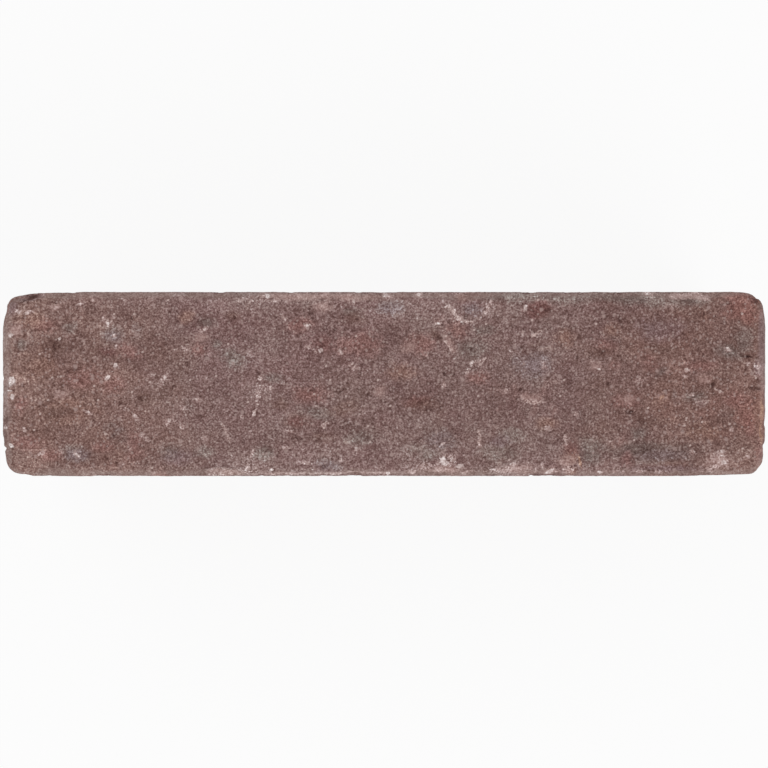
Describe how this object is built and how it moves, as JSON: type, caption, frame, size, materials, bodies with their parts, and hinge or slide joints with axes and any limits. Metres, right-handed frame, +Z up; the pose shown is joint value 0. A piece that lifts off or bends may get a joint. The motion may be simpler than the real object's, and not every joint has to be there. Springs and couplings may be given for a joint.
{
  "type": "paving brick",
  "caption": "Long narrow paving brick of fired clay with a sanded, tumbled surface, rounded arrises and knocked corners, laid on its narrow bed with the wear face up.",
  "frame": {"origin": "middle of the bed, the face that the brick rests on when it is laid", "axes": "+Z up from the bed to the wear face, +X along the length, +Y across the narrow width towards the back side face"},
  "size_m": [0.2, 0.0484, 0.085],
  "materials": {
    "fired_clay": "matt sand-faced fired clay, mauve-brown with grey, ochre and orange-red patches and pale sand smears"
  },
  "bodies": {
    "root": {"brick": "fired_clay"}
  },
  "joints": []
}
